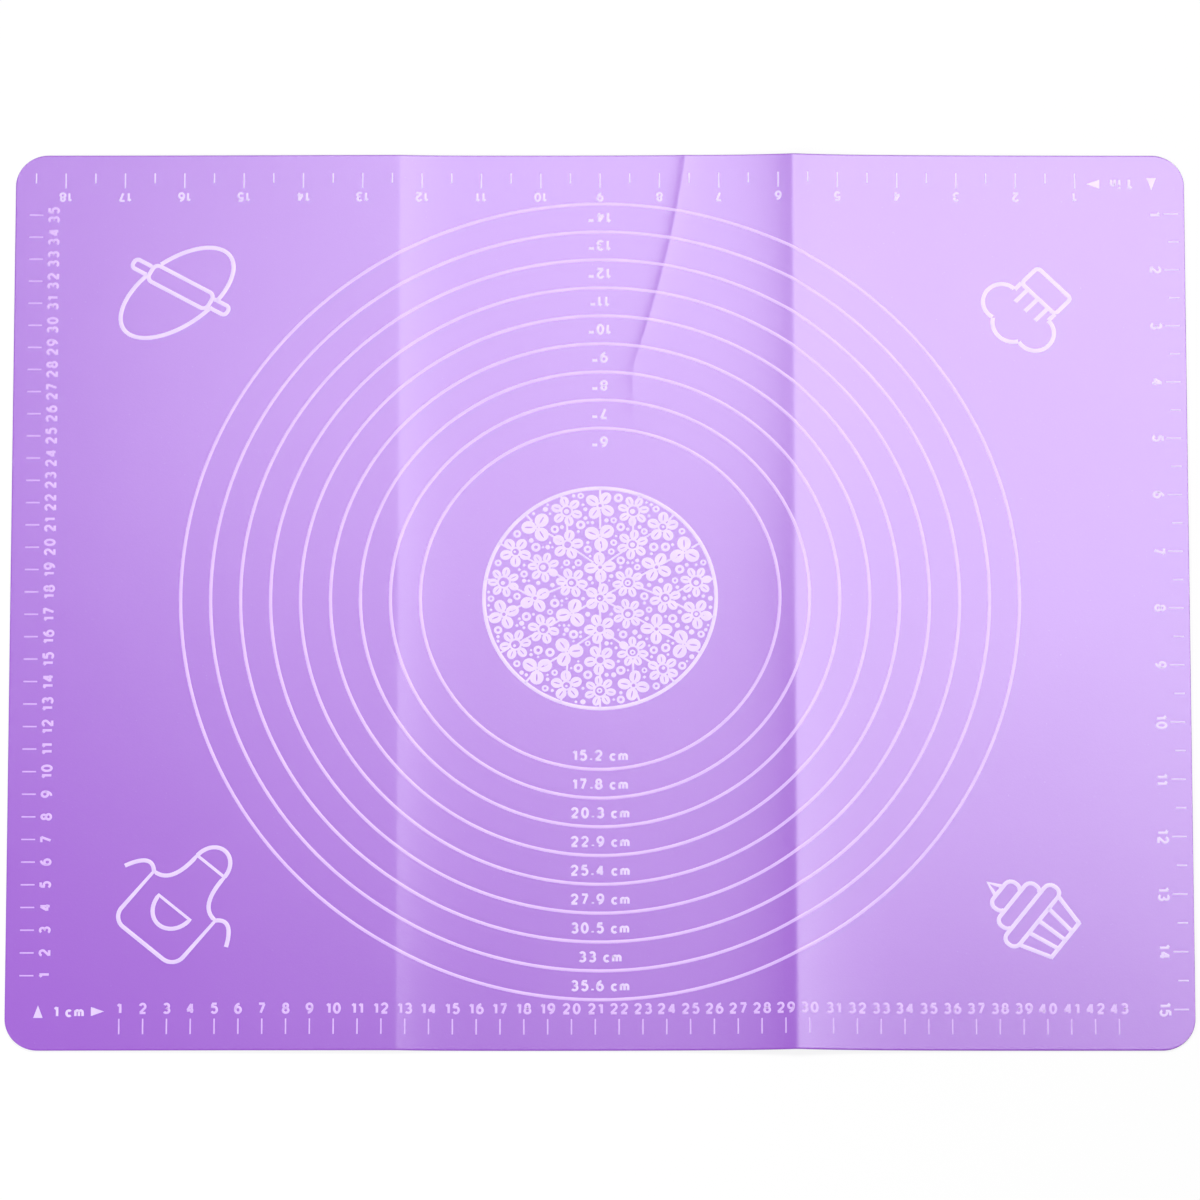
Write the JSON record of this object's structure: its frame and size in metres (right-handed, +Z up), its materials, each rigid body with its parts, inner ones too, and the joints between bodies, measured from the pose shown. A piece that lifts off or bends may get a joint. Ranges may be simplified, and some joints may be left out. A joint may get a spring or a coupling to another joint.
{
  "type": "pastry mat",
  "caption": "Thin rectangular silicone pastry mat with rounded corners that letter-folds along soft creases, printed with measuring rings, edge scales and corner pictures.",
  "frame": {"origin": "middle of the underside, where the mat rests on a worktop", "axes": "+X along the long side, +Y along the short side away from the reader of the centimetre scales, +Z up out of the printed face"},
  "size_m": [0.5, 0.4, 0.0007],
  "materials": {
    "silicone": "satin, slightly cloudy purple silicone",
    "print_ink": "matt pinkish white screen print"
  },
  "bodies": {
    "centre_panel": {"centre_panel": "silicone", "left_crease": "silicone", "right_crease": "silicone", "ring_06in": "print_ink", "ring_07in_top_arc": "print_ink", "ring_07in_bottom_arc": "print_ink", "ring_08in_top_arc": "print_ink", "ring_08in_bottom_arc": "print_ink", "ring_09in_top_arc": "print_ink", "ring_09in_bottom_arc": "print_ink", "ring_10in_top_arc": "print_ink", "ring_10in_bottom_arc": "print_ink", "ring_11in_top_arc": "print_ink", "ring_11in_bottom_arc": "print_ink", "ring_12in_top_arc": "print_ink", "ring_12in_bottom_arc": "print_ink", "ring_13in_top_arc": "print_ink", "ring_13in_bottom_arc": "print_ink", "ring_14in_top_arc": "print_ink", "ring_14in_bottom_arc": "print_ink", "centre_medallion": "print_ink"},
    "left_panel": {"left_panel": "silicone", "ring_07in_left_arc": "print_ink", "ring_08in_left_arc": "print_ink", "ring_09in_left_arc": "print_ink", "ring_10in_left_arc": "print_ink", "ring_11in_left_arc": "print_ink", "ring_12in_left_arc": "print_ink", "ring_13in_left_arc": "print_ink", "ring_14in_left_arc": "print_ink", "rolling_pin_print": "print_ink", "apron_print": "print_ink", "apron_pocket_print": "print_ink", "cm_scale_up_arrow": "print_ink", "cm_scale_right_arrow": "print_ink"},
    "right_panel": {"right_panel": "silicone", "ring_07in_right_arc": "print_ink", "ring_08in_right_arc": "print_ink", "ring_09in_right_arc": "print_ink", "ring_10in_right_arc": "print_ink", "ring_11in_right_arc": "print_ink", "ring_12in_right_arc": "print_ink", "ring_13in_right_arc": "print_ink", "ring_14in_right_arc": "print_ink", "chef_hat_print": "print_ink", "cupcake_print": "print_ink", "inch_scale_left_arrow": "print_ink", "inch_scale_down_arrow": "print_ink"}
  },
  "joints": [
    {"name": "left_fold", "type": "hinge", "parent": "centre_panel", "child": "left_panel", "pos_m": [-0.086, 0, 0.0032], "axis": [0, 1, 0], "range_deg": [0, 180], "deforming": ["left_crease"]},
    {"name": "right_fold", "type": "hinge", "parent": "centre_panel", "child": "right_panel", "pos_m": [0.083, 0, 0.0056], "axis": [0, -1, 0], "range_deg": [0, 180], "deforming": ["right_crease"]}
  ]
}
